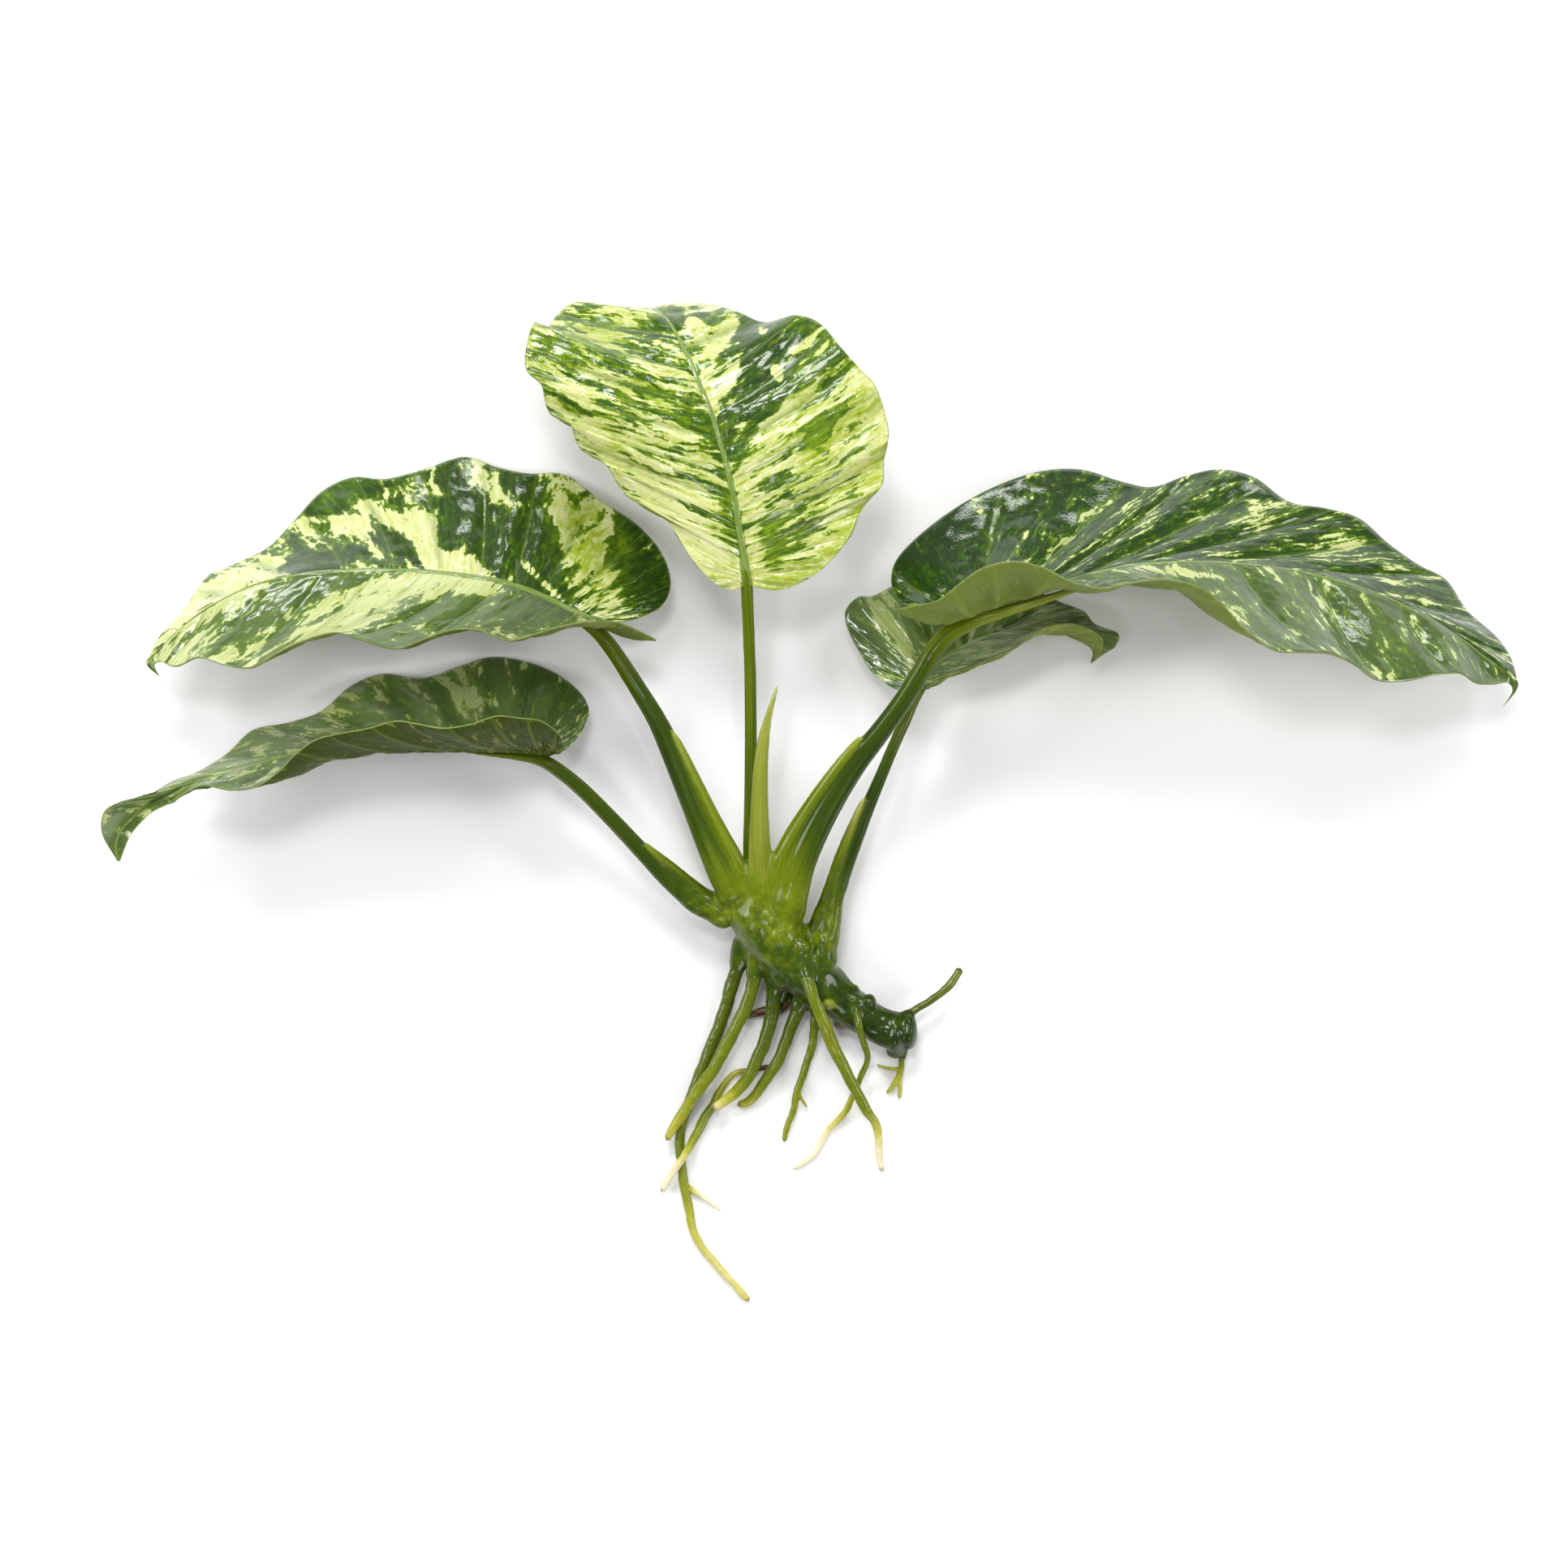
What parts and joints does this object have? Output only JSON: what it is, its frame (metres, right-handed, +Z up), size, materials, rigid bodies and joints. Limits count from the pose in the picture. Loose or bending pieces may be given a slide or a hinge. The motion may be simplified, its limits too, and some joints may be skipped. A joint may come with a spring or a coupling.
{
  "type": "bare-root variegated anubias plant",
  "caption": "Bare-root water plant lying on a table: wavy cream-flecked green leaves on long stalks, a short knobbly rhizome and trailing roots.",
  "frame": {"origin": "the middle of the plant's footprint on the table that it lies on", "axes": "+X from the left leaf tips to the right leaf tip, +Y from the roots to the topmost leaf, +Z up from the table, the way the upper sides of the leaves face"},
  "size_m": [0.2276, 0.1612, 0.0425],
  "materials": {
    "leaf": "wet gloss, dark green marbled with cream yellow",
    "petiole": "satin, dark green with fine lengthwise stripes",
    "bud_sheath": "satin, pale green with fine lengthwise stripes",
    "rhizome": "wet gloss, mottled bright to dark green",
    "root": "satin, yellow green to cream at the tips"
  },
  "bodies": {
    "root": {"leaf_top": "leaf", "leaf_left_upper": "leaf", "leaf_left_lower": "leaf", "leaf_right_upper": "leaf", "leaf_right_lower": "leaf", "petiole_top": "petiole", "petiole_left_upper": "petiole", "petiole_left_lower": "petiole", "petiole_right_upper": "petiole", "petiole_right_lower": "petiole", "bud_sheath": "bud_sheath", "rhizome": "rhizome", "root_longest": "root", "root_left": "root", "root_middle_left": "root", "root_middle": "root", "root_shaded": "root", "root_pale": "root", "root_forked": "root", "root_front": "root", "root_thin": "root", "root_raised": "root", "root_end": "root"}
  },
  "joints": []
}
